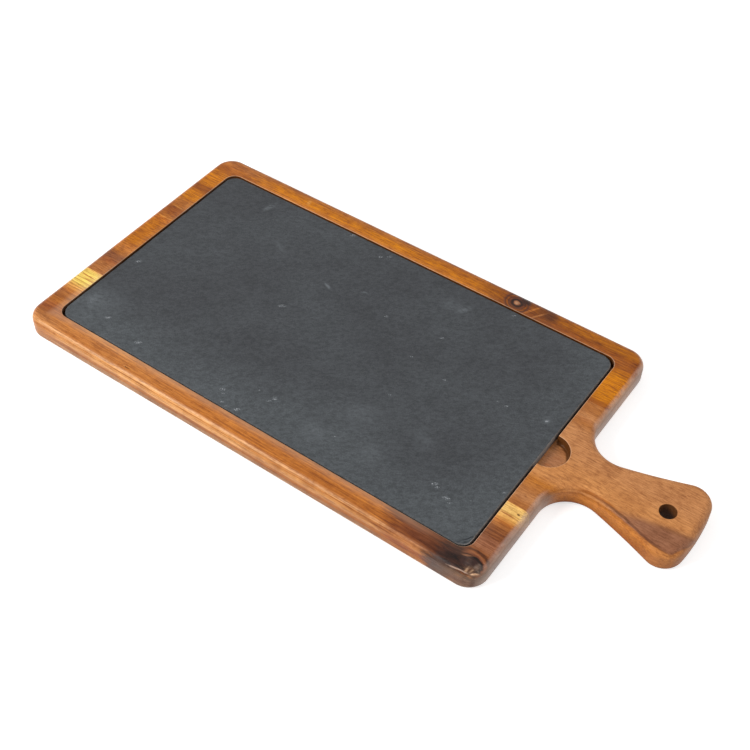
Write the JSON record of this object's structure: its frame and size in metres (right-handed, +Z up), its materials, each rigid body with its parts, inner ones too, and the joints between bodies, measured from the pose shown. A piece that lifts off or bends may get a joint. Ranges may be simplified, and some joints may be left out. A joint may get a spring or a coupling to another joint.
{
  "type": "serving board",
  "caption": "Flat glued wooden paddle board with rounded edges, a pierced handle and a routed pocket with a finger notch that holds a loose slate plate.",
  "frame": {"origin": "middle of the bounding box, on the surface that the board stands on", "axes": "+X along the board towards the handle's end, +Y across it to the far edge, +Z up out of the slate's face"},
  "size_m": [0.4, 0.192, 0.015],
  "materials": {
    "near_wood": "oiled hardwood, satin, brown with pale sapwood and a dark knot",
    "centre_wood": "oiled hardwood, satin, tan brown with a purple streak in the handle",
    "far_wood": "oiled hardwood, satin, golden orange with a small knot",
    "slate": "split grey slate, matt, with fine cleft and pale scuffs"
  },
  "bodies": {
    "board": {"near_stave": "near_wood", "centre_stave": "centre_wood", "far_stave": "far_wood"},
    "slate": {"slate_plate": "slate"}
  },
  "joints": [
    {"name": "slate_lift", "type": "slide", "parent": "board", "child": "slate", "axis": [0, 0, 1], "range_m": [0, 0.04]}
  ]
}
